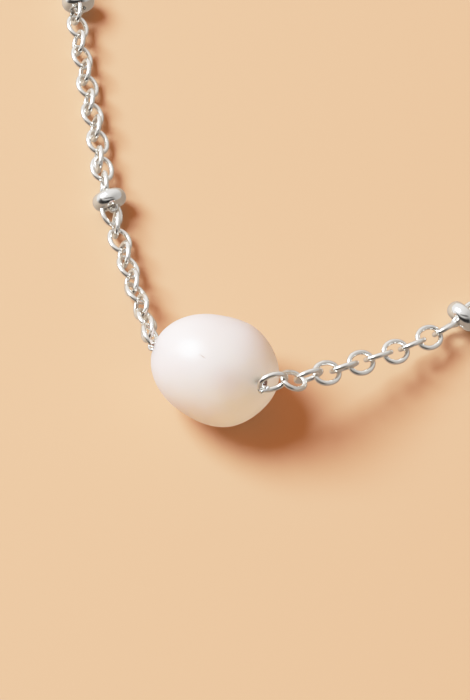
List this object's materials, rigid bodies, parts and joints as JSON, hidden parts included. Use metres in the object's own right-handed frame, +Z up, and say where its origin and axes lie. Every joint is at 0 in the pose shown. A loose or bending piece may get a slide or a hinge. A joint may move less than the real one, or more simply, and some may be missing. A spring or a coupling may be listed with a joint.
{
  "type": "pearl pendant necklace",
  "caption": "Fine cable-chain necklace with small ring-shaped metal station beads and one off-round white pearl in line at the front, closed with a plain ring clasp, lying flat.",
  "frame": {"origin": "middle of the footprint of the laid-out necklace, on the surface it lies on", "axes": "+Z up from the surface, +Y from the pearl to the clasp, +X to the right when the pearl is nearest"},
  "size_m": [0.1106, 0.1706, 0.0081],
  "materials": {
    "pearl": "nacre, satin lustre, white with a faint rose and cream overtone",
    "chain": "polished silver-coloured wire links",
    "bead": "polished silver-coloured metal",
    "fittings": "polished silver-coloured metal"
  },
  "bodies": {
    "root": {"pearl": "pearl", "pearl_pin": "fittings", "chain_left": "chain", "chain_right": "chain", "bead_01": "bead", "bead_02": "bead", "bead_03": "bead", "bead_04": "bead", "bead_05": "bead", "bead_06": "bead", "bead_07": "bead", "bead_08": "bead", "bead_09": "bead", "bead_10": "bead", "bead_11": "bead", "bead_12": "bead", "bead_13": "bead", "bead_14": "bead", "bead_15": "bead", "bead_16": "bead", "bead_17": "bead", "bead_18": "bead", "bead_19": "bead", "bead_20": "bead", "clasp": "fittings", "end_ring_left": "fittings", "end_ring_right": "fittings"}
  },
  "joints": []
}
